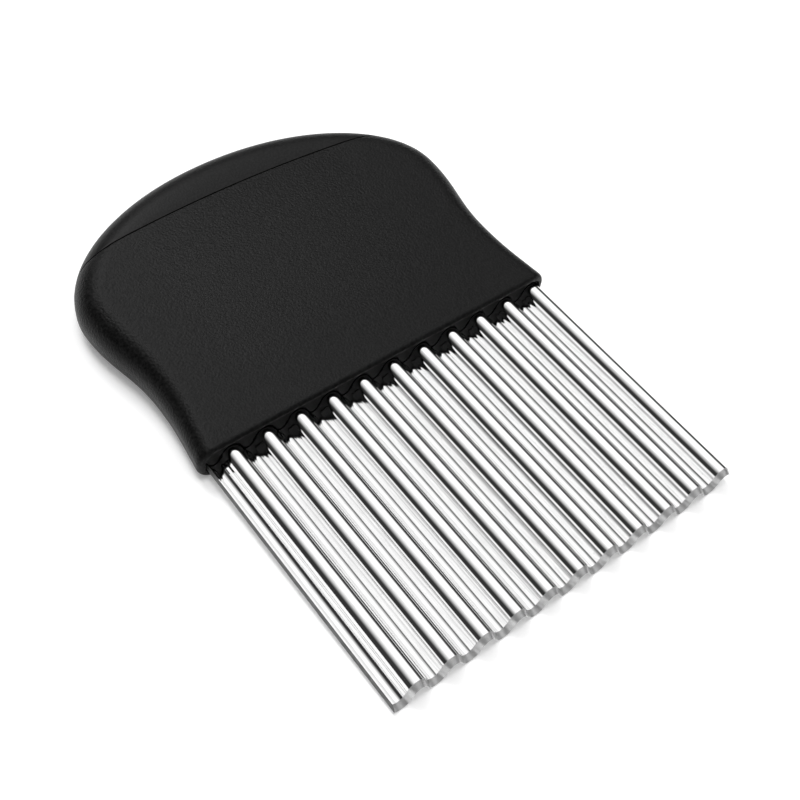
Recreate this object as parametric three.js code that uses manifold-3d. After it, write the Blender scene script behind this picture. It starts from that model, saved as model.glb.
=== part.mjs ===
// Crinkle cutter: a corrugated steel blade, clamped between two bars in the mouth of a moulded handle.
// Millimetres. The tool is drawn with X across the blade, +Y from the cutting edge to the palm and Z
// square to the sheet, with Y = 0 at the mouth of the handle. At the end it is laid on its flat back.
import * as THREE from 'three';
import { mergeVertices } from 'three/addons/utils/BufferGeometryUtils.js';
import Module from 'manifold-3d';

const wasm = await Module();
wasm.setup();

// Fit
const CLEARANCE = 0.3; // between two pieces that fit together
const TIP_LIFT = 0.1; // the cutting edge stays this far off the table

// Blade
const WAVE_PITCH = 8;
const WAVE_COUNT = 11;
const WAVE_HEIGHT = 3.6; // crest to valley, at the middle of the sheet
const FLANK = THREE.MathUtils.degToRad(62); // straight flanks between the round crests and valleys
const FIRST_VALLEY = 0.22; // pitches from the left edge to the first valley
const SHEET = 0.8;
const BLADE_REACH = 61.2; // mouth to cutting edge
const BEVEL = 1.3; // length of the ground face
const EDGE_LAND = 0.12; // thickness left at the cutting edge
const TANG_DEPTH = 19; // mouth to the end of the sheet
const TANG_MARGIN = 2; // from the side of the tang to the side of the bars

// Clamp bars and rivets
const BAR_THINNEST = 0.5; // bar over a crest
const BAR_RECESS = 0.4; // bars set back from the rim of the mouth
const BAR_BEYOND_TANG = 2;
const FLANGE_DEPTH = 2.7; // mouth to the step that stops the bars
const RIVET_RADIUS = 1;
const RIVET_HEAD_RADIUS = 1.7;
const RIVET_HEAD = 0.7;
const RIVET_WAVES = [1, 4, WAVE_COUNT - 5, WAVE_COUNT - 2]; // waves whose valley has a rivet

// Handle
const FRONT_WALL = 1.1; // wall over the bars, at the mouth
const BACK_WALL = 0.7; // wall under the bars, at the mouth
const RIM_SIDE = 1.6; // wall beside the blade, at the mouth
const RIM_LAND = 0.25; // flat left round the mouth when its walls are rounded off
const RIM_MARGIN = 0.02; // the rounded rim starts this far outside the walls
const MOUTH_RUN = 6; // the walls are drawn this far past the mouth, then cut off there
const MOUTH_FLARE = THREE.MathUtils.degToRad(6);
const WAIST_IN = 1.7; // waist, inside the mouth
const WAIST_Y = 18.8;
const BULGE_OUT = 1.4; // bulge, outside the mouth
const BULGE_Y = 43;
const PALM_Y = 70.9;
const SHOULDER_PULL = 14.5; // how long the outline keeps going up from the bulge
const PALM_PULL = 27.5; // and how long it runs level over the palm
const FRONT_TAPER = THREE.MathUtils.degToRad(3.3); // front face rises from the mouth to the palm
const SIDE_FLAT = 0.7; // half of the flat band between the front and back roundings
const SIDE_WALL = 1.8; // wall beside the bars, at the waist
const WALL = 2.2;
const WEB = 3.5; // between the pocket for the bars and the hollow under the cap
const CORE_HALF = 33; // half width of the hollow under the cap
const INNER_ROUND = 0.6; // least rounding inside the walls

// Cap
const SEAM_Y = 57.6;
const SEAM_RADIUS = 330; // the seam bends a little, round a point on the blade's side
const SKIRT_DEPTH = 6;
const SKIRT_WALL = 1.6;

// How finely curves are drawn
const ARC_STEPS = 7;
const ROUND_STEPS = 6;
const CIRCLE_STEPS = 24;
const SEAM_STEPS = 16;

// Sizes that follow
const HALF_PITCH = WAVE_PITCH / 2;
const WAVE_SPREAD = HALF_PITCH * Math.sin(FLANK) - WAVE_HEIGHT * Math.cos(FLANK);
const WAVE_RADIUS = WAVE_SPREAD / (2 - 2 * Math.cos(FLANK)); // of crests and valleys
const ARC_HALF = WAVE_RADIUS * Math.sin(FLANK); // half width of a crest or valley
const BLADE_HALF = (WAVE_PITCH * WAVE_COUNT) / 2;
const SHEET_HALF = BLADE_HALF - (SHEET / 2) * Math.sin(FLANK); // at the middle of the sheet
const WAVE_TOP = WAVE_HEIGHT / 2 + SHEET / 2;
const BAR_TOP = WAVE_TOP + CLEARANCE + BAR_THINNEST;
const POCKET_TOP = BAR_TOP + CLEARANCE;
const ENTRY_HALF = BLADE_HALF + CLEARANCE;
const MOUTH_HALF = ENTRY_HALF + RIM_SIDE;
const WAIST_HALF = MOUTH_HALF - WAIST_IN;
const BULGE_HALF = MOUTH_HALF + BULGE_OUT;
const POCKET_HALF = WAIST_HALF - SIDE_WALL;
const BAR_HALF = POCKET_HALF - CLEARANCE;
const TANG_HALF = BAR_HALF - TANG_MARGIN;
const BAR_END = TANG_DEPTH + BAR_BEYOND_TANG;
const POCKET_END = BAR_END + CLEARANCE;
const FRONT_TOP = POCKET_TOP + FRONT_WALL;
const BACK_TOP = POCKET_TOP + BACK_WALL;
const TILT = Math.atan((BACK_TOP - WAVE_TOP - TIP_LIFT) / BLADE_REACH);
const FAR = PALM_Y + BLADE_REACH; // past everything

const black = (color, roughness) => new THREE.MeshStandardMaterial({ color, roughness, metalness: 0 });
const steel = (color, roughness) => new THREE.MeshStandardMaterial({ color, roughness, metalness: 1 });

// Solids

function solid(geometry) {
  const bare = geometry.clone();
  bare.deleteAttribute('normal');
  bare.deleteAttribute('uv');
  const joined = mergeVertices(bare, 1e-5);
  const mesh = new wasm.Mesh({
    numProp: 3,
    vertProperties: new Float32Array(joined.attributes.position.array),
    triVerts: new Uint32Array(joined.index.array),
  });
  return new wasm.Manifold(mesh);
}

function piece(name, shape, material) {
  const { vertProperties, triVerts } = shape.getMesh();
  const geometry = new THREE.BufferGeometry();
  geometry.setAttribute('position', new THREE.BufferAttribute(new Float32Array(vertProperties), 3));
  geometry.setIndex(new THREE.BufferAttribute(new Uint32Array(triVerts), 1));
  geometry.computeVertexNormals();
  const mesh = new THREE.Mesh(geometry, material);
  mesh.name = name;
  return mesh;
}

function block(halfWidth, y0, y1, halfHeight) {
  const box = new THREE.BoxGeometry(2 * halfWidth, y1 - y0, 2 * halfHeight);
  return solid(box.translate(0, (y0 + y1) / 2, 0));
}

// Prism with its outline in XY, running through the whole thickness.
function planPrism(points) {
  const options = { depth: 2 * FAR, bevelEnabled: false };
  return solid(new THREE.ExtrudeGeometry(new THREE.Shape(points), options).translate(0, 0, -FAR));
}

// Outline in XZ of a slot or a section with round ends.
function roundEnded(halfWidth, front, back) {
  const outline = [];
  for (const [turn, right, up] of [[0, 1, 1], [1, -1, 1], [2, -1, -1], [3, 1, -1]]) {
    const radius = (up > 0 ? front : back) - SIDE_FLAT;
    const centre = new THREE.Vector2(right * (halfWidth - radius), up * SIDE_FLAT);
    for (let i = 0; i <= ROUND_STEPS; i += 1) {
      const angle = (Math.PI / 2) * (turn + i / ROUND_STEPS);
      const arm = new THREE.Vector2(Math.cos(angle), Math.sin(angle));
      outline.push(centre.clone().addScaledVector(arm, radius));
    }
  }
  return outline;
}

// Prism with its outline in XZ, running from y0 to y1.
function crossPrism(points, y0, y1) {
  const options = { depth: y1 - y0, bevelEnabled: false };
  const prism = new THREE.ExtrudeGeometry(new THREE.Shape(points), options);
  return solid(prism.rotateX(Math.PI / 2).translate(0, y1, 0));
}

// Cylinder along Z.
function drill(radius, z0, z1) {
  const bit = new THREE.CylinderGeometry(radius, radius, z1 - z0, CIRCLE_STEPS);
  return solid(bit.rotateX(Math.PI / 2).translate(0, 0, (z0 + z1) / 2));
}

// Skin over rings of equally many points, closed by flat ends. flatten gives an end's two coordinates.
function loft(rings, flatten) {
  const count = rings[0].length;
  const points = rings.flat();
  const faces = [];
  for (let k = 0; k + 1 < rings.length; k += 1) {
    for (let i = 0; i < count; i += 1) {
      const a = k * count + i;
      const b = k * count + ((i + 1) % count);
      faces.push([a, b, b + count], [a, b + count, a + count]);
    }
  }
  const area = THREE.ShapeUtils.area(rings[0].map(flatten));
  for (const [k, sense] of [[0, -1], [rings.length - 1, 1]]) {
    const contour = rings[k].map(flatten);
    for (const ids of THREE.ShapeUtils.triangulateShape(contour, [])) {
      const turn = THREE.ShapeUtils.area(ids.map((id) => contour[id])) * area * sense;
      const face = ids.map((id) => id + k * count);
      faces.push(turn > 0 ? face : face.reverse());
    }
  }
  const volume = faces.reduce((sum, [a, b, c]) => {
    const normal = new THREE.Vector3().crossVectors(points[b], points[c]);
    return sum + points[a].dot(normal);
  }, 0);
  const index = faces.flatMap((face) => (volume > 0 ? face : [...face].reverse()));
  const geometry = new THREE.BufferGeometry().setFromPoints(points);
  geometry.setIndex(index);
  return solid(geometry);
}

// Blade and bars

// Point of the corrugation, x along the middle of the sheet, moved off it square to the sheet.
function wavePoint(x, offset) {
  const along = (x - valleyX(0)) / HALF_PITCH;
  const arc = Math.round(along);
  const sense = arc % 2 === 0 ? -1 : 1; // valleys are even, crests odd
  const dx = (along - arc) * HALF_PITCH;
  const beyond = Math.max(Math.abs(dx) - ARC_HALF, 0);
  const angle = beyond > 0 ? Math.sign(dx) * FLANK : Math.asin(dx / WAVE_RADIUS);
  const drop = WAVE_RADIUS * (1 - Math.cos(angle)) + beyond * Math.tan(FLANK);
  const z = sense * (WAVE_HEIGHT / 2 - drop);
  return new THREE.Vector2(x + sense * offset * Math.sin(angle), z + offset * Math.cos(angle));
}

// Both ends, and the steps of each crest and valley between them; the flanks need none.
function waveLine(halfWidth, offset) {
  const reach = Math.ceil((2 * halfWidth) / HALF_PITCH) + 1;
  const xs = [-halfWidth, halfWidth];
  for (let arc = -reach; arc <= reach; arc += 1) {
    for (let i = 0; i <= ARC_STEPS; i += 1) {
      const angle = FLANK * ((2 * i) / ARC_STEPS - 1);
      const x = valleyX(0) + arc * HALF_PITCH + WAVE_RADIUS * Math.sin(angle);
      if (Math.abs(x) < halfWidth - CLEARANCE / 10) xs.push(x);
    }
  }
  return xs.sort((a, b) => a - b).map((x) => wavePoint(x, offset));
}

function valleyX(wave) {
  return -BLADE_HALF + WAVE_PITCH * (FIRST_VALLEY + wave);
}

function rivetSpots() {
  const y = (FLANGE_DEPTH + TANG_DEPTH) / 2;
  return RIVET_WAVES.map((wave) => new THREE.Vector3(valleyX(wave), y, 0));
}

function bladeRing(y, thickness) {
  const under = waveLine(SHEET_HALF, -SHEET / 2);
  const over = waveLine(SHEET_HALF, thickness - SHEET / 2);
  return [...under, ...over.reverse()].map(({ x, y: z }) => new THREE.Vector3(x, y, z));
}

function corrugatedBlade() {
  const rings = [
    bladeRing(-BLADE_REACH, EDGE_LAND),
    bladeRing(-BLADE_REACH + BEVEL, SHEET),
    bladeRing(TANG_DEPTH, SHEET),
  ];
  let blade = loft(rings, ({ x, z }) => new THREE.Vector2(x, z));
  const shoulder = FLANGE_DEPTH - CLEARANCE;
  const tangZone = block(FAR, shoulder, FAR, FAR).subtract(block(TANG_HALF, 0, 2 * FAR, 2 * FAR));
  blade = blade.subtract(tangZone);
  for (const spot of rivetSpots()) {
    const hole = drill(RIVET_RADIUS + CLEARANCE, -FAR, FAR).translate(spot.toArray());
    blade = blade.subtract(hole);
  }
  return piece('corrugated_blade', blade, steel(0xd6d7d8, 0.16));
}

// side is 1 for the bar over the sheet, which takes the rivets' heads, and -1 for the one under it.
function clampBar(name, side) {
  const stem = crossPrism(roundEnded(BAR_HALF, BAR_TOP, BAR_TOP), BAR_RECESS, BAR_END);
  const flange = crossPrism(roundEnded(BLADE_HALF, BAR_TOP, BAR_TOP), BAR_RECESS, FLANGE_DEPTH);
  const edge = waveLine(BLADE_HALF + WAVE_PITCH, side * (SHEET / 2 + CLEARANCE));
  const beyond = [
    new THREE.Vector2(edge.at(-1).x, side * FAR),
    new THREE.Vector2(edge[0].x, side * FAR),
  ];
  const half = crossPrism([...edge, ...beyond], 0, FAR);
  let bar = stem.add(flange).intersect(half);
  const seat = BAR_TOP - RIVET_HEAD - CLEARANCE;
  for (const spot of rivetSpots()) {
    const hole = drill(RIVET_RADIUS + CLEARANCE, -FAR, FAR);
    const counterbore = drill(RIVET_HEAD_RADIUS + CLEARANCE, seat, FAR);
    bar = bar.subtract(hole.add(counterbore).translate(spot.toArray()));
  }
  return piece(name, bar, black(0x161617, 0.7));
}

function clampRivet(name, spot) {
  const neck = BAR_TOP - RIVET_HEAD;
  const profile = [
    new THREE.Vector2(0, -BAR_TOP),
    new THREE.Vector2(RIVET_RADIUS, -BAR_TOP),
    new THREE.Vector2(RIVET_RADIUS, neck),
    new THREE.Vector2(RIVET_HEAD_RADIUS, neck),
    new THREE.Vector2(RIVET_HEAD_RADIUS, BAR_TOP),
    new THREE.Vector2(0, BAR_TOP),
  ];
  const body = new THREE.LatheGeometry(profile, CIRCLE_STEPS).rotateX(Math.PI / 2);
  const rivet = piece(name, solid(body), steel(0xb4b5b7, 0.35));
  rivet.position.copy(spot);
  return rivet;
}

// Handle

// Height of the front face (side 1) or the back face (side -1) off the middle of the sheet.
function faceHeight(side, y) {
  return side > 0 ? FRONT_TOP + y * Math.tan(FRONT_TAPER) : BACK_TOP + y * Math.tan(TILT);
}

const edgeRound = (side, y) => faceHeight(side, y) - SIDE_FLAT;

// Right-hand outline in plan, as curves with the number of steps for each.
function mouthCurves() {
  const lean = Math.tan(MOUTH_FLARE);
  const run = new THREE.LineCurve(
    new THREE.Vector2(MOUTH_HALF + MOUTH_RUN * lean, -MOUTH_RUN),
    new THREE.Vector2(MOUTH_HALF, 0),
  );
  const flare = new THREE.CubicBezierCurve(
    new THREE.Vector2(MOUTH_HALF, 0),
    new THREE.Vector2(MOUTH_HALF - 0.4 * WAIST_Y * lean, 0.4 * WAIST_Y),
    new THREE.Vector2(WAIST_HALF, 0.55 * WAIST_Y),
    new THREE.Vector2(WAIST_HALF, WAIST_Y),
  );
  return [[run, 1], [flare, 10]];
}

function palmCurves() {
  const rise = BULGE_Y - WAIST_Y;
  const side = new THREE.CubicBezierCurve(
    new THREE.Vector2(WAIST_HALF, WAIST_Y),
    new THREE.Vector2(WAIST_HALF, WAIST_Y + 0.42 * rise),
    new THREE.Vector2(BULGE_HALF, BULGE_Y - 0.42 * rise),
    new THREE.Vector2(BULGE_HALF, BULGE_Y),
  );
  const palm = new THREE.CubicBezierCurve(
    new THREE.Vector2(BULGE_HALF, BULGE_Y),
    new THREE.Vector2(BULGE_HALF, BULGE_Y + SHOULDER_PULL),
    new THREE.Vector2(PALM_PULL, PALM_Y),
    new THREE.Vector2(0, PALM_Y),
  );
  return [[side, 8], [palm, 18]];
}

// Points along the curves and their mirror image, each with its outward direction.
function traced(curves) {
  const right = [];
  for (const [curve, steps] of curves) {
    for (let i = 0; i < steps; i += 1) {
      const tangent = curve.getTangent(i / steps);
      right.push({ at: curve.getPoint(i / steps), out: new THREE.Vector2(tangent.y, -tangent.x) });
    }
  }
  const top = { at: new THREE.Vector2(0, PALM_Y), out: new THREE.Vector2(0, 1) };
  const flip = ({ x, y }) => new THREE.Vector2(-x, y);
  const left = right.map(({ at, out }) => ({ at: flip(at), out: flip(out) })).reverse();
  return [...right, top, ...left];
}

// Flat-faced, round-edged solid over an outline, all of its skin moved inwards by inset.
function pillow(outline, inset) {
  const angles = Array.from({ length: ROUND_STEPS + 1 }, (_, i) => (Math.PI / 2) * (i / ROUND_STEPS));
  const layer = (side, angle) => outline.map(({ at, out }) => {
    const round = Math.max(edgeRound(side, at.y) - inset, INNER_ROUND);
    const point = at.clone().addScaledVector(out, -inset - round * (1 - Math.cos(angle)));
    const height = faceHeight(side, point.y) - inset - round * (1 - Math.sin(angle));
    return new THREE.Vector3(point.x, point.y, side * height);
  });
  const back = [...angles].reverse().map((angle) => layer(-1, angle));
  const front = angles.map((angle) => layer(1, angle));
  return loft([...back, ...front], ({ x, y }) => new THREE.Vector2(x, y));
}

// Skin of the hollow part of the handle, which starts at the waist.
const innerPillow = (inset) => pillow(traced(palmCurves()), inset);
const outerPillow = () => pillow(traced([...mouthCurves(), ...palmCurves()]), 0).intersect(mouthRim());

// What a wall loses to a rounding, this far from the mouth. Past the rounding it gains.
function rolledOff(wall, y) {
  const radius = wall - RIM_LAND;
  const left = radius - y;
  return left > 0 ? radius - Math.sqrt(radius ** 2 - left ** 2) : left;
}

// Everything inside the rounded rim of the mouth; it widens past the rim.
function mouthRim() {
  const side = RIM_SIDE - RIM_LAND;
  const steps = Array.from({ length: 2 * ROUND_STEPS + 1 }, (_, i) => i / (2 * ROUND_STEPS));
  const places = [...steps.map((step) => side * (1 - Math.cos((step * Math.PI) / 2))), FAR];
  const rings = places.map((y) => {
    const half = MOUTH_HALF + RIM_MARGIN - rolledOff(RIM_SIDE, y) - y * Math.tan(MOUTH_FLARE);
    const front = FRONT_TOP + RIM_MARGIN - rolledOff(FRONT_WALL, y);
    const back = BACK_TOP + RIM_MARGIN - rolledOff(BACK_WALL, y);
    return roundEnded(half, front, back).map((p) => new THREE.Vector3(p.x, y, p.y));
  });
  return loft(rings, ({ x, z }) => new THREE.Vector2(x, z));
}

const seamY = (x) => SEAM_Y - SEAM_RADIUS + Math.sqrt(SEAM_RADIUS ** 2 - x ** 2);

// Everything on the palm side of the seam, moved along Y by shift.
function palmSide(shift) {
  const reach = BULGE_HALF + WALL;
  const seam = Array.from({ length: SEAM_STEPS + 1 }, (_, i) => {
    const x = -reach + (2 * reach * i) / SEAM_STEPS;
    return new THREE.Vector2(x, seamY(x) + shift);
  });
  return planPrism([...seam, new THREE.Vector2(reach, FAR), new THREE.Vector2(-reach, FAR)]);
}

// Straight-sided hollow of the handle, which the skirt of the cap fits.
function core(inset, y0) {
  return innerPillow(inset).intersect(block(CORE_HALF - (inset - WALL), y0, FAR, FAR));
}

function handleBody() {
  const slot = (halfWidth) => roundEnded(halfWidth, POCKET_TOP, POCKET_TOP);
  const entry = crossPrism(slot(ENTRY_HALF), -FAR, FLANGE_DEPTH + CLEARANCE);
  const pocket = crossPrism(slot(POCKET_HALF), -FAR, POCKET_END);
  const body = outerPillow()
    .subtract(palmSide(-CLEARANCE / 2))
    .subtract(entry.add(pocket))
    .subtract(core(WALL, POCKET_END + WEB));
  return piece('handle_body', body, black(0x1d1d1e, 0.62));
}

function palmCap() {
  const skirtEnd = seamY(CORE_HALF) - SKIRT_DEPTH;
  const skirt = core(WALL + CLEARANCE, skirtEnd);
  const hollow = core(WALL + CLEARANCE + SKIRT_WALL, skirtEnd - WALL);
  const cap = outerPillow().intersect(palmSide(CLEARANCE / 2)).add(skirt).subtract(hollow);
  return piece('palm_cap', cap, black(0x232324, 0.5));
}

// The assembly, laid on its flat back with its origin under the middle of its bounding box.

function crinkleCutter() {
  const tool = new THREE.Group();
  tool.name = 'tool';
  tool.add(corrugatedBlade(), handleBody(), palmCap());
  tool.add(clampBar('front_jaw', 1), clampBar('rear_jaw', -1));
  rivetSpots().forEach((spot, i) => tool.add(clampRivet(`clamp_rivet_${i + 1}`, spot)));
  tool.rotation.x = TILT;
  tool.updateMatrixWorld(true);
  const box = new THREE.Box3().setFromObject(tool, true);
  const middle = box.getCenter(new THREE.Vector3());
  tool.position.set(-middle.x, -middle.y, BACK_TOP * Math.cos(TILT));
  const part = new THREE.Group();
  part.name = 'crinkle_cutter';
  part.add(tool);
  return part;
}

export default crinkleCutter();
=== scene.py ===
"""Crinkle cutter, dressed for its picture.

Each piece is drawn in millimetres in the tool's own frame: X across the blade, +Y from the cutting edge
to the palm, Z square to the sheet, Y = 0 at the mouth of the handle. Lay puts the drawn points where the
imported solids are, in metres.
"""

from __future__ import annotations

import logging
import math
from dataclasses import dataclass, field
from enum import Enum
from typing import Iterable, Sequence

import bmesh
import bpy
from mathutils import Matrix, Vector, noise


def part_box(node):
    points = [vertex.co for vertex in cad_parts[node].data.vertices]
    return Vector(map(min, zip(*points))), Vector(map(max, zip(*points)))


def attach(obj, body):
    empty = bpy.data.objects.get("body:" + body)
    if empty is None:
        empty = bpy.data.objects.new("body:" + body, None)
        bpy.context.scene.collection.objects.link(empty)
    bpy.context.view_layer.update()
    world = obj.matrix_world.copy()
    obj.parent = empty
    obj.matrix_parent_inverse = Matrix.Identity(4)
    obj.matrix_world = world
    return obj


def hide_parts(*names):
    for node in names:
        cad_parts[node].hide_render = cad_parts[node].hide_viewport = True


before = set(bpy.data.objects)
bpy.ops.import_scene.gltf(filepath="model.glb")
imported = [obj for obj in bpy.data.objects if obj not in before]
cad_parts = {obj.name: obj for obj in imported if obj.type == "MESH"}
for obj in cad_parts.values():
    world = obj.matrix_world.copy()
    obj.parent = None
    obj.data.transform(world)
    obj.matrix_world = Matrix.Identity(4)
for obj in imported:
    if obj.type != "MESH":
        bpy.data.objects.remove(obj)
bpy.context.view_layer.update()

MM = 0.001
BODY = "root"
QUARTER = math.pi / 2.0
# Least cosine with which a face still counts as looking along Y.
END_FACING = 0.99
NOISE_MIDDLE = 0.5
NOISE_ROUGHNESS = 0.55
# Places of the blade's two finishes among its materials.
SHEET_FACE, EDGE_FACE = range(2)
Color = tuple[float, float, float, float]
Triple = tuple[float, float, float]
Span = tuple[float, float]
log = logging.getLogger("crinkle_cutter")


def grey(value: float) -> Color:
    """Opaque grey of that linear value."""
    return (value, value, value, 1.0)


def blend(low: float, high: float, share: float) -> float:
    """Value between low and high."""
    return low + (high - low) * share


class Face(Enum):
    """The two broad faces of the tool, by the sense of Z that they look along."""

    FRONT = 1
    BACK = -1


class Part(Enum):
    """The two mouldings that the seam divides the handle into."""

    BODY = "body"
    CAP = "cap"


class Signal:
    """A socket of a shader graph that takes part in Python arithmetic."""

    def __init__(self, graph: Graph, socket: bpy.types.NodeSocket) -> None:
        """Keeps the socket and the graph that it belongs to."""
        self.graph = graph
        self.socket = socket

    def tap(self, name: str) -> Signal:
        """Another output of the same node."""
        return Signal(self.graph, self.socket.node.outputs[name])

    def _math(self, operation: str, first: Signal | float, second: Signal | float) -> Signal:
        """Adds a Math node.

        Args:
            operation: The Math node's operation.
            first: Its first value.
            second: Its second value.

        Returns:
            The node's result.
        """
        return self.graph.add("ShaderNodeMath", {"operation": operation}, {0: first, 1: second})

    def __add__(self, other: Signal | float) -> Signal:
        """self + other"""
        return self._math("ADD", self, other)

    def __radd__(self, other: float) -> Signal:
        """other + self"""
        return self._math("ADD", other, self)

    def __sub__(self, other: Signal | float) -> Signal:
        """self - other"""
        return self._math("SUBTRACT", self, other)

    def __rsub__(self, other: float) -> Signal:
        """other - self"""
        return self._math("SUBTRACT", other, self)

    def __mul__(self, other: Signal | float) -> Signal:
        """self * other"""
        return self._math("MULTIPLY", self, other)

    def __rmul__(self, other: float) -> Signal:
        """other * self"""
        return self._math("MULTIPLY", other, self)

    def above(self, low: float, high: float) -> Signal:
        """Fades in between two values.

        Args:
            low: The value up to which the result is 0.
            high: The value from which it is 1.

        Returns:
            The smooth share.
        """
        settings = {"interpolation_type": "SMOOTHSTEP"}
        inputs = {"Value": self, "From Min": low, "From Max": high}
        return self.graph.add("ShaderNodeMapRange", settings, inputs)


class Graph:
    """Writes the nodes of one shader tree."""

    def __init__(self, tree: bpy.types.NodeTree) -> None:
        """Empties the tree."""
        self.tree = tree
        tree.nodes.clear()

    @staticmethod
    def _find(sockets: bpy.types.bpy_prop_collection, key: int | str) -> bpy.types.NodeSocket:
        """Finds a socket.

        Args:
            sockets: The inputs or the outputs of a node.
            key: The socket's place, identifier or name.

        Returns:
            The socket.
        """
        if isinstance(key, int):
            return sockets[key]
        return next((s for s in sockets if s.identifier == key), None) or sockets[key]

    def add(
        self,
        kind: str,
        settings: dict[str, object] | None = None,
        inputs: dict[int | str, object] | None = None,
        out: int | str = 0,
    ) -> Signal | None:
        """Adds a node.

        Args:
            kind: The node's type.
            settings: Its own settings, which are set first.
            inputs: Values or signals for its sockets.
            out: The output that is wanted.

        Returns:
            That output, or None for a node that has none.
        """
        node = self.tree.nodes.new(kind)
        for name, value in (settings or {}).items():
            setattr(node, name, value)
        for key, value in (inputs or {}).items():
            socket = self._find(node.inputs, key)
            if isinstance(value, Signal):
                self.tree.links.new(value.socket, socket)
            else:
                socket.default_value = value
        return Signal(self, self._find(node.outputs, out)) if len(node.outputs) else None

    def mix(self, share: Signal, first: Color | Signal, second: Color | Signal) -> Signal:
        """Colour between two.

        Args:
            share: How much of the second.
            first: The colour at 0.
            second: The colour at 1.

        Returns:
            The mixed colour.
        """
        inputs = {"Factor_Float": share, "A_Color": first, "B_Color": second}
        return self.add("ShaderNodeMix", {"data_type": "RGBA"}, inputs, "Result_Color")

    def stretched(self, scale: Triple) -> Signal:
        """Coordinates of the piece.

        Args:
            scale: Features per millimetre along X, Y and Z.

        Returns:
            The scaled coordinates.
        """
        at = self.add("ShaderNodeTexCoord", out="Object")
        inputs = {0: at, 1: tuple(value / MM for value in scale)}
        return self.add("ShaderNodeVectorMath", {"operation": "MULTIPLY"}, inputs)

    def noise(self, scale: Triple, detail: float = 2.0) -> Signal:
        """Noise over the piece.

        Args:
            scale: Features per millimetre along X, Y and Z.
            detail: Number of finer layers on it.

        Returns:
            The noise, round NOISE_MIDDLE.
        """
        inputs = {
            "Vector": self.stretched(scale),
            "Scale": 1.0,
            "Detail": detail,
            "Roughness": NOISE_ROUGHNESS,
        }
        return self.add("ShaderNodeTexNoise", None, inputs)

    def relief(self, height: Signal, depth: float) -> Signal:
        """Normal of a surface with fine relief.

        Args:
            height: The relief.
            depth: Its depth in millimetres where the height is 1.

        Returns:
            The normal.
        """
        inputs = {"Strength": 1.0, "Distance": depth * MM, "Height": height}
        return self.add("ShaderNodeBump", None, inputs)


@dataclass(frozen=True)
class Finish:
    """What all finishes share."""

    name: str
    base: float
    roughness: float

    def material(self) -> bpy.types.Material:
        """Makes the material.

        Returns:
            A new material with its own nodes.
        """
        material = bpy.data.materials.new(self.name)
        material.use_nodes = True
        graph = Graph(material.node_tree)
        shader = graph.add("ShaderNodeBsdfPrincipled", None, self.sockets(graph))
        graph.add("ShaderNodeOutputMaterial", None, {"Surface": shader})
        return material

    def sockets(self, graph: Graph) -> dict[str, object]:
        """What goes into the shader's sockets.

        Args:
            graph: The graph to add nodes to.

        Returns:
            Values and signals by socket.
        """
        raise NotImplementedError


@dataclass(frozen=True)
class GrainedPlastic(Finish):
    """Black moulding with the fine grain of a spark-eroded mould."""

    grain: float = 0.5
    depth: float = 0.16
    swing: float = 1.0
    gloss_swing: float = 0.25
    specular: float = 0.12
    speckle_fade: Span = (0.4, 0.6)
    speckle_share: float = 0.75
    drift_length: float = 20.0

    def sockets(self, graph: Graph) -> dict[str, object]:
        """Grain, its sheen and a slow drift of tone.

        Args:
            graph: The graph to add nodes to.

        Returns:
            Values and signals by socket.
        """
        fine = graph.noise((1.0 / self.grain,) * 3, detail=3.0)
        drift = graph.noise((1.0 / self.drift_length,) * 3)
        speckle = fine.above(*self.speckle_fade)
        tone = speckle * self.speckle_share + drift * (1.0 - self.speckle_share)
        dark = grey(self.base * (1.0 - self.swing))
        light = grey(self.base * (1.0 + self.swing))
        return {
            "Base Color": graph.mix(tone, dark, light),
            "Roughness": self.roughness + self.gloss_swing * (fine - NOISE_MIDDLE),
            "Normal": graph.relief(fine, self.depth),
            "Specular IOR Level": self.specular,
        }


@dataclass(frozen=True)
class DrawnSteel(Finish):
    """Bright sheet with marks of drawing along it, and a few pits."""

    streak: float = 0.06
    streak_length: float = 14.0
    depth: float = 0.0002
    gloss_swing: float = 0.06
    mark_fade: Span = (0.35, 0.75)
    mark_share: float = 0.5
    ripple_scale: Triple = (0.9, 0.03, 0.9)
    ripple_rise: float = 3.0
    speck_scale: Triple = (2.2, 1.4, 2.2)
    speck_fade: Span = (0.70, 0.76)
    speck_sink: float = 2.0
    speck_dullness: float = 0.2
    darkest: float = 0.6

    def sockets(self, graph: Graph) -> dict[str, object]:
        """Lengthwise marks, slow ripples and specks.

        Args:
            graph: The graph to add nodes to.

        Returns:
            Values and signals by socket.
        """
        across = 1.0 / self.streak
        marks = graph.noise((across, 1.0 / self.streak_length, across), detail=3.0)
        ripple = graph.noise(self.ripple_scale, detail=1.0)
        speck = graph.noise(self.speck_scale).above(*self.speck_fade)
        tone = marks.above(*self.mark_fade) * self.mark_share + speck * (1.0 - self.mark_share)
        gloss = self.gloss_swing * (marks - NOISE_MIDDLE) + speck * self.speck_dullness
        height = marks + ripple * self.ripple_rise - speck * self.speck_sink
        return {
            "Base Color": graph.mix(tone, grey(self.base), grey(self.base * self.darkest)),
            "Metallic": 1.0,
            "Roughness": self.roughness + gloss,
            "Normal": graph.relief(height, self.depth),
        }


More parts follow.
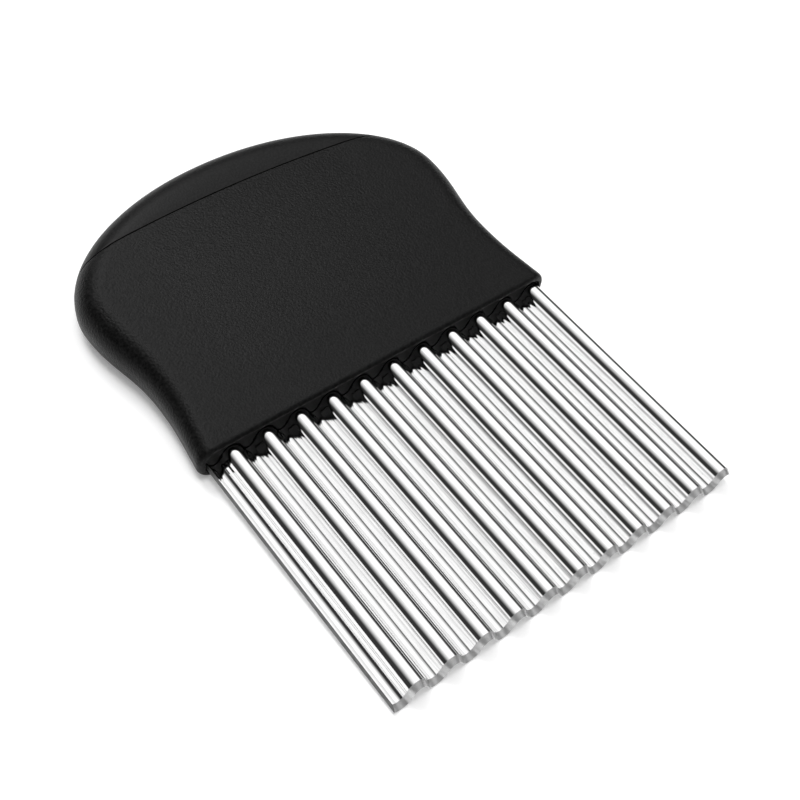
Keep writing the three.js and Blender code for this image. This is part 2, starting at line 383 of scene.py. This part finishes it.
@dataclass(frozen=True)
class GroundSteel(Finish):
    """Steel with grinding lines across the cutting edge."""

    line: float = 0.12
    line_length: float = 2.5
    depth: float = 0.01
    gloss_swing: float = 0.2
    line_fade: Span = (0.3, 0.7)
    line_share: float = 0.5
    patch_scale: Triple = (0.8, 0.6, 0.8)
    patch_fade: Span = (0.35, 0.7)
    darkest: float = 0.7

    def sockets(self, graph: Graph) -> dict[str, object]:
        """Grinding lines and their changing tone.

        Args:
            graph: The graph to add nodes to.

        Returns:
            Values and signals by socket.
        """
        across = 1.0 / self.line
        lines = graph.noise((across, 1.0 / self.line_length, across), detail=3.0)
        patches = graph.noise(self.patch_scale).above(*self.patch_fade)
        tone = lines.above(*self.line_fade) * self.line_share + patches * (1.0 - self.line_share)
        return {
            "Base Color": graph.mix(tone, grey(self.base * self.darkest), grey(self.base)),
            "Metallic": 1.0,
            "Roughness": self.roughness + self.gloss_swing * (lines - NOISE_MIDDLE),
            "Normal": graph.relief(lines, self.depth),
        }


BODY_PLASTIC = GrainedPlastic("grained_black_moulding", 0.003, 0.39)
CAP_PLASTIC = GrainedPlastic("satin_black_moulding", 0.0045, 0.42, depth=0.06, swing=0.7)
JAW_PLASTIC = GrainedPlastic("plain_black_moulding", 0.004, 0.6, depth=0.015)
BLADE_STEEL = DrawnSteel("drawn_bright_steel", 0.87, 0.06)
EDGE_STEEL = GroundSteel("ground_steel", 0.66, 0.42)
RIVET_STEEL = GroundSteel("wire_steel", 0.55, 0.35, line=0.3)


@dataclass(frozen=True)
class Corrugation:
    """Round crests and valleys joined by flanks, as the sheet is pressed.

    The slope of a flank isn't even: along its run it swings once, by lean, about the slope at its ends.
    """

    pitch: float = 8.0
    count: int = 11
    height: float = 3.6
    flank: float = math.radians(63.3)
    first_valley: float = 0.22
    sheet: float = 0.8
    lean: float = 0.57
    flank_steps: int = 10

    @property
    def half(self) -> float:
        """Half of the blade's width."""
        return self.pitch * self.count / 2.0

    @property
    def sheet_half(self) -> float:
        """The same at the middle of the sheet."""
        return self.half - self.sheet / 2.0 * math.sin(self.flank)

    @property
    def top(self) -> float:
        """Height of a crest over the middle of the sheet."""
        return (self.height + self.sheet) / 2.0

    @property
    def radius(self) -> float:
        """Radius of crests and valleys, at the middle of the sheet."""
        spread = self.pitch / 2.0 * math.sin(self.flank) - self.height * math.cos(self.flank)
        return spread / (2.0 - 2.0 * math.cos(self.flank))

    @property
    def arc_half(self) -> float:
        """Half of the width of a crest or a valley."""
        return self.radius * math.sin(self.flank)

    def arc_middle(self, arc: int) -> float:
        """Place of a valley (even) or a crest (odd) across the blade."""
        return self.pitch * (self.first_valley + arc / 2.0) - self.half

    def places(self, steps: int) -> list[float]:
        """Places across the whole blade at which its wave is drawn.

        Args:
            steps: Number of steps over a crest or a valley.

        Returns:
            The places, in order.
        """
        found = []
        for arc in range(-1, 2 * self.count + 2):
            middle = self.arc_middle(arc)
            angles = [self.flank * (2.0 * i / steps - 1.0) for i in range(steps + 1)]
            found += [middle + self.radius * math.sin(angle) for angle in angles]
            start, end = middle + self.arc_half, self.arc_middle(arc + 1) - self.arc_half
            found += [blend(start, end, i / self.flank_steps) for i in range(1, self.flank_steps)]
        return found

    def point(self, x: float, offset: float, swell: float = 1.0) -> tuple[float, float]:
        """Point of the sheet.

        Args:
            x: Place across the blade, at the middle of the sheet.
            offset: Distance from the middle of the sheet, square to it.
            swell: Height of this wave as a share of the usual one.

        Returns:
            X and Z of the point.
        """
        arc = round((x - self.arc_middle(0)) / (self.pitch / 2.0))
        sense = -1.0 if arc % 2 == 0 else 1.0
        aside = x - self.arc_middle(arc)
        beyond = max(abs(aside) - self.arc_half, 0.0)
        angle = math.copysign(self.flank, aside) if beyond > 0.0 else math.asin(aside / self.radius)
        drop = self.radius * (1.0 - math.cos(angle)) + beyond * math.tan(self.flank)
        z = sense * swell * (self.height / 2.0 - drop)
        if beyond > 0.0:
            run = self.pitch / 2.0 - 2.0 * self.arc_half
            turn = math.tau * beyond / run
            lean = -math.copysign(self.lean, aside)
            z -= sense * lean * run / math.tau * (1.0 - math.cos(turn))
            angle = math.copysign(math.atan(math.tan(self.flank) + lean * math.sin(turn)), aside)
        return x + sense * offset * math.sin(angle), z + offset * math.cos(angle)


@dataclass(frozen=True)
class Mouth:
    """The pocket in the handle and what fills it, from the sheet outwards."""

    clearance: float = 0.3
    bar_thinnest: float = 0.5
    front_wall: float = 1.1
    back_wall: float = 0.7
    rim_side: float = 1.6
    rim_land: float = 0.25
    side_wall: float = 1.8
    flange_depth: float = 2.7
    tang_depth: float = 19.0
    tang_margin: float = 2.0
    beyond_tang: float = 2.0


@dataclass(frozen=True)
class Lay:
    """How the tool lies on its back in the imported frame."""

    tilt: float
    along: float
    up: float

    def matrix(self) -> Matrix:
        """Takes a drawn point, in millimetres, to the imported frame, in metres."""
        shift = Matrix.Translation((0.0, self.along, self.up))
        return Matrix.Diagonal((MM, MM, MM, 1.0)) @ shift @ Matrix.Rotation(self.tilt, 4, "X")


def made_object(name: str, mesh: bmesh.types.BMesh, lay: Lay, sharp: float) -> bpy.types.Object:
    """Turns a drawn mesh into an object in its place.

    Args:
        name: The piece's name.
        mesh: The mesh, in the tool's frame; it is freed.
        lay: Where the tool lies.
        sharp: Angle in degrees over which an edge isn't shaded smooth.

    Returns:
        The object, linked to the scene.
    """
    bmesh.ops.transform(mesh, matrix=lay.matrix(), verts=mesh.verts)
    bmesh.ops.recalc_face_normals(mesh, faces=mesh.faces)
    for face in mesh.faces:
        face.smooth = True
    for edge in mesh.edges:
        if len(edge.link_faces) == 2 and edge.calc_face_angle() > math.radians(sharp):
            edge.smooth = False
    data = bpy.data.meshes.new(name)
    mesh.to_mesh(data)
    mesh.free()
    piece = bpy.data.objects.new(name, data)
    bpy.context.scene.collection.objects.link(piece)
    return piece


def dressed(piece: bpy.types.Object, finishes: Sequence[Finish], node: str) -> None:
    """Gives a piece its finishes and its place in the frame.

    Args:
        piece: The piece.
        finishes: Its finishes, in the order of its faces' material numbers.
        node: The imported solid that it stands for.
    """
    for finish in finishes:
        piece.data.materials.append(finish.material())
    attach(piece, BODY)
    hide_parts(node)


@dataclass
class Blade:
    """Corrugated sheet with a ground edge and a narrower tang."""

    wave: Corrugation
    mouth: Mouth
    lay: Lay
    tang_half: float
    reach: float = 61.2
    tip_lift: float = 0.1
    bevel: float = 1.3
    edge_land: float = 0.12
    side_chamfer: float = 0.1
    steps: int = 16
    least_step: float = 0.02
    row_length: float = 4.0
    swell: float = 0.03
    swell_across: float = 7.0
    swell_along: float = 55.0
    swell_draw: float = 3.7
    sharp: float = 25.0
    piece: bpy.types.Object | None = field(default=None, init=False)

    @property
    def shoulder(self) -> float:
        """Place along the sheet at which the tang starts."""
        return self.mouth.flange_depth - self.mouth.clearance

    def columns(self) -> list[float]:
        """Places across the sheet.

        Returns:
            The places from left to right, with the sides of the tang among them.
        """
        half = self.wave.sheet_half
        inner = half - self.side_chamfer
        drawn = [x for x in self.wave.places(self.steps) if abs(x) < inner - self.least_step]
        line = [-inner, *drawn, inner]
        for side in (-self.tang_half, self.tang_half):
            nearest = min(range(len(line)), key=lambda i: abs(line[i] - side))
            line[nearest] = side
        return [-half, *line, half]

    def rows(self) -> list[float]:
        """Places along the sheet.

        Returns:
            The places from the cutting edge to the end of the tang.
        """
        start, end = -self.reach + self.bevel, self.mouth.tang_depth
        count = round((self.shoulder - start) / self.row_length)
        exposed = [blend(start, self.shoulder, i / count) for i in range(count + 1)]
        return [-self.reach, *exposed, blend(self.shoulder, end, 0.5), end]

    def point(self, x: float, y: float, face: Face) -> Vector:
        """Point of the sheet's skin.

        Args:
            x: Place across the sheet.
            y: Place along it.
            face: The side of the sheet.

        Returns:
            The point in the tool's frame.
        """
        half = self.wave.sheet / 2.0
        offset = half
        if face is Face.BACK:
            offset = -half
        elif y < -self.reach + self.bevel / 2.0:
            offset = self.edge_land - half
        elif abs(x) > self.wave.sheet_half - self.side_chamfer / 2.0:
            offset = half - self.side_chamfer
        ripple = noise.noise(Vector((x / self.swell_across, y / self.swell_along, self.swell_draw)))
        wx, wz = self.wave.point(x, offset, 1.0 + self.swell * min(0.0, ripple))
        return Vector((wx, y, wz))

    def build(self) -> None:
        """Makes the sheet as a plate of cells, closed round its outline."""
        columns, rows = self.columns(), self.rows()
        mesh = bmesh.new()
        points: dict[tuple[int, int, Face], bmesh.types.BMVert] = {}

        def vert(i: int, j: int, face: Face) -> bmesh.types.BMVert:
            """Finds or makes a vertex.

            Args:
                i: Its column.
                j: Its row.
                face: The side of the sheet.

            Returns:
                The vertex.
            """
            if (i, j, face) not in points:
                points[i, j, face] = mesh.verts.new(self.point(columns[i], rows[j], face))
            return points[i, j, face]

        def filled(i: int, j: int) -> bool:
            """Whether there is sheet in a cell.

            Args:
                i: The column at the cell's left.
                j: The row at the cell's lower end.

            Returns:
                True where there is.
            """
            if not (0 <= i < len(columns) - 1 and 0 <= j < len(rows) - 1):
                return False
            inside = abs(columns[i] + columns[i + 1]) / 2.0 < self.tang_half
            return inside or rows[j + 1] < self.shoulder + self.least_step

        for j in range(len(rows) - 1):
            for i in range(len(columns) - 1):
                if not filled(i, j):
                    continue
                corners = [(i, j), (i + 1, j), (i + 1, j + 1), (i, j + 1)]
                front = mesh.faces.new([vert(*c, Face.FRONT) for c in corners])
                front.material_index = EDGE_FACE if j == 0 else SHEET_FACE
                mesh.faces.new([vert(*c, Face.BACK) for c in reversed(corners)])
                beside = [(i, j - 1), (i + 1, j), (i, j + 1), (i - 1, j)]
                for k, cell in enumerate(beside):
                    if not filled(*cell):
                        a, b = corners[k], corners[(k + 1) % len(corners)]
                        wall = [vert(*c, Face.FRONT) for c in (b, a)]
                        wall += [vert(*c, Face.BACK) for c in (a, b)]
                        mesh.faces.new(wall).material_index = EDGE_FACE
        self.piece = made_object("blade_sheet", mesh, self.lay, self.sharp)

    def dress(self) -> None:
        """Bright sheet, ground edge."""
        dressed(self.piece, (BLADE_STEEL, EDGE_STEEL), "corrugated_blade")


@dataclass(frozen=True)
class OutlinePoint:
    """Point of the handle's outline in plan, with its outward direction."""

    x: float
    y: float
    out_x: float
    out_y: float

    def mirrored(self) -> OutlinePoint:
        """The same point on the left."""
        return OutlinePoint(-self.x, self.y, -self.out_x, self.out_y)


def bezier(corners: Sequence[Span], steps: int) -> list[OutlinePoint]:
    """Points along a cubic curve, without its last.

    Args:
        corners: The four control points.
        steps: Number of points.

    Returns:
        The points, with the outward direction on the right hand.
    """
    found = []
    (x0, y0), (x1, y1), (x2, y2), (x3, y3) = corners
    for i in range(steps):
        t = i / steps
        a, b, c, d = (1 - t) ** 3, 3 * t * (1 - t) ** 2, 3 * t * t * (1 - t), t**3
        da, db, dc = 3 * (1 - t) ** 2, 6 * t * (1 - t), 3 * t * t
        dx = da * (x1 - x0) + db * (x2 - x1) + dc * (x3 - x2)
        dy = da * (y1 - y0) + db * (y2 - y1) + dc * (y3 - y2)
        size = math.hypot(dx, dy)
        x, y = a * x0 + b * x1 + c * x2 + d * x3, a * y0 + b * y1 + c * y2 + d * y3
        found.append(OutlinePoint(x, y, dy / size, -dx / size))
    return found


def joined(
    mesh: bmesh.types.BMesh, loop: list[bmesh.types.BMVert], points: Sequence[Vector]
) -> list[bmesh.types.BMVert]:
    """Draws a band of faces from a loop to the next.

    Args:
        mesh: The mesh to draw into.
        loop: The loop to start from.
        points: The points of the next one.

    Returns:
        The next loop.
    """
    following = [mesh.verts.new(point) for point in points]
    for i in range(len(loop)):
        mesh.faces.new([loop[i - 1], loop[i], following[i], following[i - 1]])
    return following


@dataclass(frozen=True)
class HandleForm:
    """Waisted, round-edged form that the body and the cap share."""

    mouth_half: float
    front_top: float
    back_top: float
    back_taper: float
    side_roll: float
    front_roll: float
    back_roll: float
    front_taper: float = math.radians(3.3)
    flare: float = math.radians(6.0)
    waist_in: float = 1.7
    waist_y: float = 18.8
    bulge_out: float = 1.4
    bulge_y: float = 43.0
    palm_y: float = 70.9
    shoulder_pull: float = 14.5
    palm_pull: float = 27.5
    side_flat: float = 0.7
    flat_margin: float = 1.0
    seam_y: float = 57.6
    seam_radius: float = 330.0
    seam_gap: float = 0.3
    seam_round: float = 0.22
    seam_round_steps: int = 3
    seam_reach: float = 1.0
    strip: float = 4.0
    round_steps: int = 12
    roll_steps: int = 8
    side_steps: int = 20
    palm_steps: int = 44
    least_step: float = 0.5
    flare_pull: float = 0.4
    waist_pull: float = 0.55
    bulge_pull: float = 0.42
    sharp: float = 40.0

    @property
    def waist_half(self) -> float:
        """Half width at the waist."""
        return self.mouth_half - self.waist_in

    def outline(self) -> list[OutlinePoint]:
        """Outline in plan.

        Returns:
            Its points, from the right of the mouth over the palm to the left of the mouth.
        """
        waist, bulge = self.waist_half, self.mouth_half + self.bulge_out
        starts = (self.side_roll, self.side_roll + self.flat_margin)
        right = [OutlinePoint(self.mouth_side(y), y, 1.0, 0.0) for y in starts]
        flare = bezier((
            (self.mouth_half, 0.0),
            (self.mouth_side(self.flare_pull * self.waist_y), self.flare_pull * self.waist_y),
            (waist, self.waist_pull * self.waist_y),
            (waist, self.waist_y),
        ), self.side_steps)
        right += [point for point in flare if point.y > starts[1] + self.least_step]
        pull = self.bulge_pull * (self.bulge_y - self.waist_y)
        right += bezier((
            (waist, self.waist_y),
            (waist, self.waist_y + pull),
            (bulge, self.bulge_y - pull),
            (bulge, self.bulge_y),
        ), self.side_steps)
        right += bezier((
            (bulge, self.bulge_y),
            (bulge, self.bulge_y + self.shoulder_pull),
            (self.palm_pull, self.palm_y),
            (0.0, self.palm_y),
        ), self.palm_steps)
        top = OutlinePoint(0.0, self.palm_y, 0.0, 1.0)
        return [*right, top, *(point.mirrored() for point in reversed(right))]

    def mouth_side(self, y: float) -> float:
        """Half width close to the mouth."""
        return self.mouth_half - y * math.tan(self.flare)

    def height(self, face: Face, y: float) -> float:
        """Height of a broad face.

        Args:
            face: The face.
            y: Place along the tool.

        Returns:
            Its distance from the middle of the sheet.
        """
        if face is Face.FRONT:
            return self.front_top + y * math.tan(self.front_taper)
        return self.back_top + y * math.tan(self.back_taper)

    def seam_bend(self, x: float) -> float:
        """How far the seam has dropped at x."""
        return math.sqrt(self.seam_radius**2 - x * x) - self.seam_radius

    def turns(self) -> list[float]:
        """Angles of the steps round a side, from 0 to a quarter turn."""
        return [QUARTER * i / self.round_steps for i in range(self.round_steps + 1)]

    def ring(self, face: Face, angle: float, margin: float = 0.0) -> list[Vector]:
        """One level line of the form.

        Args:
            face: The broad face that it belongs to.
            angle: From 0 at the side to a quarter turn at the face.
            margin: Further distance inwards over the face.

        Returns:
            Its points.
        """
        points = []
        for p in self.outline():
            radius = self.height(face, p.y) - self.side_flat
            inwards = radius * (1.0 - math.cos(angle)) + margin
            x, y = p.x - p.out_x * inwards, p.y - p.out_y * inwards
            z = self.height(face, y) - radius * (1.0 - math.sin(angle))
            points.append(Vector((x, y, face.value * z)))
        return points

    def levels(self) -> list[list[Vector]]:
        """All level lines.

        Returns:
            The lines from the back face to the front face.
        """
        back = [self.ring(Face.BACK, angle) for angle in reversed(self.turns())]
        front = [self.ring(Face.FRONT, angle) for angle in self.turns()]
        return [
            self.ring(Face.BACK, QUARTER, self.flat_margin),
            *back,
            *front,
            self.ring(Face.FRONT, QUARTER, self.flat_margin),
        ]

    def section(self, y: float, half: float, front: float, back: float) -> list[Vector]:
        """Loop across the tool with round ends, point for point like the end of the skin.

        Args:
            y: Place along the tool.
            half: Half of the loop's width.
            front: Its height over the middle of the sheet.
            back: Its depth under it.

        Returns:
            Its points, up the right and down the left.
        """
        right = []
        for face, top in ((Face.BACK, back), (Face.FRONT, front)):
            radius = top - self.side_flat
            run = []
            for angle in self.turns():
                x = half - radius * (1.0 - math.cos(angle))
                z = top - radius * (1.0 - math.sin(angle))
                run.append(Vector((x, y, face.value * z)))
            run.append(run[-1] - Vector((self.flat_margin, 0.0, 0.0)))
            right += run if face is Face.FRONT else reversed(run)
        return right + [Vector((-p.x, p.y, p.z)) for p in reversed(right)]

    def skin(self, mesh: bmesh.types.BMesh) -> list[bmesh.types.BMVert]:
        """Draws the outer skin from the rim on, open at the mouth.

        Args:
            mesh: The mesh to draw into.

        Returns:
            The loop round the opening.
        """
        levels = [[mesh.verts.new(point) for point in level] for level in self.levels()]
        for low, high in zip(levels, levels[1:]):
            for i in range(len(low) - 1):
                mesh.faces.new([low[i], low[i + 1], high[i + 1], high[i]])
        for level in (levels[0], levels[-1]):
            mesh.faces.new([level[0], level[1], level[-2], level[-1]])
            mesh.faces.new(level[1:-1])
        return [level[0] for level in levels] + [level[-1] for level in reversed(levels)]

    def rim(self, mesh: bmesh.types.BMesh, loop: list[bmesh.types.BMVert]) -> list[bmesh.types.BMVert]:
        """Rolls the skin over to the end face of the mouth.

        Args:
            mesh: The mesh to draw into.
            loop: The loop round the opening of the skin.

        Returns:
            The loop round the end face.
        """

        def lost(radius: float, y: float) -> float:
            """What a wall loses to its rounding at y."""
            left = max(0.0, radius - y)
            return radius - math.sqrt(radius**2 - left**2)

        for i in range(1, self.roll_steps + 1):
            y = self.side_roll * (1.0 - math.sin(QUARTER * i / self.roll_steps))
            points = self.section(
                y,
                self.mouth_side(y) - lost(self.side_roll, y),
                self.height(Face.FRONT, y) - lost(self.front_roll, y),
                self.height(Face.BACK, y) - lost(self.back_roll, y),
            )
            loop = joined(mesh, loop, points)
        return loop

    def cut(self, mesh: bmesh.types.BMesh, part: Part) -> None:
        """Keeps one side of the seam, closes the cut and rounds its edge.

        Args:
            mesh: The whole form.
            part: The moulding to keep.
        """
        strips = round(self.mouth_half / self.strip)
        for i in range(-strips, strips + 1):
            everything = [*mesh.verts, *mesh.edges, *mesh.faces]
            at = (i * self.strip, 0.0, 0.0)
            bmesh.ops.bisect_plane(mesh, geom=everything, plane_co=at, plane_no=(1.0, 0.0, 0.0))
        for vert in mesh.verts:
            vert.co.y -= self.seam_bend(vert.co.x)
        sense = 1.0 if part is Part.BODY else -1.0
        bmesh.ops.bisect_plane(
            mesh,
            geom=[*mesh.verts, *mesh.edges, *mesh.faces],
            plane_co=(0.0, self.seam_y - sense * self.seam_gap / 2.0, 0.0),
            plane_no=(0.0, sense, 0.0),
            clear_outer=True,
        )
        rim = [edge for edge in mesh.edges if edge.is_boundary]
        bmesh.ops.holes_fill(mesh, edges=rim, sides=0)
        bmesh.ops.bevel(
            mesh,
            geom=rim,
            offset=self.seam_round,
            segments=self.seam_round_steps,
            profile=0.5,
            affect="EDGES",
            clamp_overlap=True,
        )
        ends = [face for face in mesh.faces if abs(face.normal.y) > END_FACING and len(face.verts) > 4]
        near = self.seam_y - self.seam_reach
        bmesh.ops.triangulate(mesh, faces=[face for face in ends if face.calc_center_median().y > near])
        for vert in mesh.verts:
            vert.co.y += self.seam_bend(vert.co.x)


@dataclass
class HandleBody:
    """Grained body with the pocket that the clamp bars fill."""

    form: HandleForm
    mouth: Mouth
    lay: Lay
    entry_half: float
    pocket_half: float
    pocket_top: float
    pocket_end: float
    piece: bpy.types.Object | None = field(default=None, init=False)

    def pocket(self, mesh: bmesh.types.BMesh, loop: list[bmesh.types.BMVert]) -> None:
        """Draws the stepped pocket inwards from the rim.

        Args:
            mesh: The mesh to draw into.
            loop: The loop round the end face.
        """
        step = self.mouth.flange_depth + self.mouth.clearance
        sizes = [
            (self.entry_half, 0.0),
            (self.entry_half, step),
            (self.pocket_half, step),
            (self.pocket_half, self.pocket_end),
        ]
        for half, y in sizes:
            loop = joined(mesh, loop, self.form.section(y, half, self.pocket_top, self.pocket_top))
        mesh.faces.new(loop)

    def build(self) -> None:
        """Makes the body up to the seam."""
        mesh = bmesh.new()
        self.pocket(mesh, self.form.rim(mesh, self.form.skin(mesh)))
        bmesh.ops.recalc_face_normals(mesh, faces=mesh.faces)
        self.form.cut(mesh, Part.BODY)
        self.piece = made_object("handle_moulding", mesh, self.lay, self.form.sharp)

    def dress(self) -> None:
        """Grained black."""
        dressed(self.piece, (BODY_PLASTIC,), "handle_body")


@dataclass
class PalmCap:
    """Satin cap that closes the palm end."""

    form: HandleForm
    lay: Lay
    piece: bpy.types.Object | None = field(default=None, init=False)

    def build(self) -> None:
        """Makes the cap from the seam on."""
        mesh = bmesh.new()
        self.form.skin(mesh)
        bmesh.ops.recalc_face_normals(mesh, faces=mesh.faces)
        self.form.cut(mesh, Part.CAP)
        self.piece = made_object("palm_moulding", mesh, self.lay, self.form.sharp)

    def dress(self) -> None:
        """Satin black."""
        dressed(self.piece, (CAP_PLASTIC,), "palm_cap")


@dataclass
class Clamp:
    """The two bars and the rivets that hold the tang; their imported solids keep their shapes."""

    bars: Sequence[str] = ("front_jaw", "rear_jaw")
    rivet_count: int = 4

    @staticmethod
    def coat(nodes: Iterable[str], finish: Finish) -> None:
        """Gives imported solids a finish.

        Args:
            nodes: Their names.
            finish: The finish.
        """
        material = finish.material()
        for name in nodes:
            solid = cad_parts[name]
            for slot in solid.material_slots:
                slot.material = material

    def dress(self) -> None:
        """Plain black bars, bright rivets."""
        rivets = [f"clamp_rivet_{i + 1}" for i in range(self.rivet_count)]
        self.coat(self.bars, JAW_PLASTIC)
        self.coat(rivets, RIVET_STEEL)


@dataclass(frozen=True)
class Lamp:
    """Round soft box that looks at the middle of the tool."""

    name: str
    direction: Triple
    size: float
    power: float
    distance: float = 3000.0

    def build(self) -> None:
        """Hangs the lamp."""
        data = bpy.data.lights.new(self.name, "AREA")
        data.shape = "DISK"
        data.size = self.size * MM
        data.energy = self.power
        lamp = bpy.data.objects.new(self.name, data)
        bpy.context.scene.collection.objects.link(lamp)
        away = Vector(self.direction).normalized()
        turn = away.to_track_quat("Z", "Y").to_matrix().to_4x4()
        lamp.matrix_world = Matrix.Translation(away * self.distance * MM) @ turn


@dataclass
class Studio:
    """White table, soft sky and the camera.

    The sky is a bright dome with a soft edge at its right and at its left, over dark walls; the wall in
    front of the tool is a little lighter.
    """

    camera_at: Triple = (-107.49, -123.90, 198.33)
    aim: Triple = (0.07, -10.69, 0.0)
    roll: float = 7.49
    lens: float = 53.23
    sensor: float = 36.0
    clip: Span = (0.01, 10.0)
    backdrop: float = 1.0
    table_half: float = 1500.0
    table_z: float = -0.05
    table_tone: float = 0.96
    table_lift: float = 0.19
    sky: float = 1.6
    horizon: float = 0.04
    front_wall: float = 0.45
    right_edge: Triple = (-0.08, 0.099, 0.992)
    right_fade: Span = (0.356, 0.670)
    left_edge: Triple = (0.42, 0.248, 0.873)
    left_fade: Span = (0.268, 1.167)
    front: Triple = (0.0, -1.0, 0.0)
    front_fade: Span = (0.15, 0.65)
    top: Triple = (0.0, 0.0, 1.0)
    top_fade: Span = (0.05, 0.4)
    lamps: Sequence[Lamp] = (
        Lamp("key", (0.0, -0.02, 1.0), 870.0, 19.0),
        Lamp("sheen", (0.06, 0.63, 0.774), 1130.0, 27.0),
    )

    def table(self) -> None:
        """White table top that keeps the shadow."""
        mesh = bmesh.new()
        bmesh.ops.create_grid(mesh, x_segments=4, y_segments=4, size=self.table_half * MM)
        bmesh.ops.translate(mesh, vec=(0.0, 0.0, self.table_z * MM), verts=mesh.verts)
        data = bpy.data.meshes.new("table_top")
        mesh.to_mesh(data)
        mesh.free()
        floor = bpy.data.objects.new("table_top", data)
        bpy.context.scene.collection.objects.link(floor)
        material = bpy.data.materials.new("white_table")
        material.use_nodes = True
        graph = Graph(material.node_tree)
        ray = graph.add("ShaderNodeLightPath", out="Is Camera Ray")
        seen = ray + ray.tap("Is Glossy Ray") + ray.tap("Is Transmission Ray")
        glow = graph.mix(seen, grey(0.0), grey(self.table_lift))
        matt = graph.add("ShaderNodeBsdfDiffuse", None, {"Color": grey(self.table_tone)})
        lift = graph.add("ShaderNodeEmission", None, {"Color": glow})
        both = graph.add("ShaderNodeAddShader", None, {0: matt, 1: lift})
        graph.add("ShaderNodeOutputMaterial", None, {"Surface": both})
        data.materials.append(material)

    def sky_light(self) -> None:
        """Soft light from above that falls off to the walls at the horizon."""
        world = bpy.data.worlds.new("studio")
        world.use_nodes = True
        bpy.context.scene.world = world
        graph = Graph(world.node_tree)
        at = graph.add("ShaderNodeTexCoord", out="Generated")

        def towards(direction: Triple, fade: Span) -> Signal:
            """Part of the sky that lies towards a direction.

            Args:
                direction: The direction.
                fade: The cosines between which it fades in.

            Returns:
                1 in that part, 0 outside it.
            """
            settings, inputs = {"operation": "DOT_PRODUCT"}, {0: at, 1: direction}
            return graph.add("ShaderNodeVectorMath", settings, inputs, "Value").above(*fade)

        dome = towards(self.right_edge, self.right_fade) * towards(self.left_edge, self.left_fade)
        near = towards(self.front, self.front_fade) * towards(self.top, self.top_fade)
        walls = graph.mix(near, grey(self.horizon), grey(self.front_wall))
        light = graph.mix(dome, walls, grey(self.sky))
        camera = graph.add("ShaderNodeLightPath", out="Is Camera Ray")
        color = graph.mix(camera, light, grey(self.backdrop))
        back = graph.add("ShaderNodeBackground", None, {"Color": color})
        graph.add("ShaderNodeOutputWorld", None, {"Surface": back})

    def camera(self) -> None:
        """Camera at the picture's angle."""
        data = bpy.data.cameras.new("camera")
        data.lens = self.lens
        data.sensor_width = self.sensor
        data.clip_start, data.clip_end = self.clip
        camera = bpy.data.objects.new("camera", data)
        bpy.context.scene.collection.objects.link(camera)
        at, aim = Vector(self.camera_at) * MM, Vector(self.aim) * MM
        level = (aim - at).to_track_quat("-Z", "Y").to_matrix().to_4x4()
        turn = Matrix.Rotation(math.radians(self.roll), 4, "Z")
        camera.matrix_world = Matrix.Translation(at) @ level @ turn
        bpy.context.scene.camera = camera

    def build(self) -> None:
        """Sets the scene."""
        bpy.context.scene.view_settings.view_transform = "Standard"
        self.table()
        self.sky_light()
        for lamp in self.lamps:
            lamp.build()
        self.camera()


def resting(wave: Corrugation, back_top: float) -> Lay:
    """Lays the tool on its back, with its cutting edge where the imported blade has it.

    Args:
        wave: The blade's wave.
        back_top: Depth of the handle's back under the middle of the sheet, at the mouth.

    Returns:
        The lay.
    """
    tilt = math.atan((back_top - wave.top - Blade.tip_lift) / Blade.reach)
    edge_top = wave.height / 2.0 - wave.sheet / 2.0 + Blade.edge_land
    edge_y = -Blade.reach * math.cos(tilt) - edge_top * math.sin(tilt)
    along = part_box("corrugated_blade")[0].y / MM - edge_y
    return Lay(tilt, along, back_top * math.cos(tilt))


def main() -> None:
    """Builds the sub-assemblies in order and sets the scene."""
    logging.basicConfig(level=logging.INFO, format="%(name)s: %(message)s")
    wave, mouth = Corrugation(), Mouth()
    bar_top = wave.top + mouth.clearance + mouth.bar_thinnest
    pocket_top = bar_top + mouth.clearance
    front_top, back_top = pocket_top + mouth.front_wall, pocket_top + mouth.back_wall
    lay = resting(wave, back_top)
    entry_half = wave.half + mouth.clearance
    rolls = (wall - mouth.rim_land for wall in (mouth.rim_side, mouth.front_wall, mouth.back_wall))
    form = HandleForm(entry_half + mouth.rim_side, front_top, back_top, lay.tilt, *rolls)
    pocket_half = form.waist_half - mouth.side_wall
    pocket_end = mouth.tang_depth + mouth.beyond_tang + mouth.clearance
    tang_half = pocket_half - mouth.clearance - mouth.tang_margin
    pieces = (
        Blade(wave, mouth, lay, tang_half),
        HandleBody(form, mouth, lay, entry_half, pocket_half, pocket_top, pocket_end),
        PalmCap(form, lay),
    )
    for part in pieces:
        part.build()
        part.dress()
        log.info("%s: %d faces", part.piece.name, len(part.piece.data.polygons))
    Clamp().dress()
    log.info("clamp bars and rivets dressed")
    Studio().build()


if __name__ == "__main__":
    main()
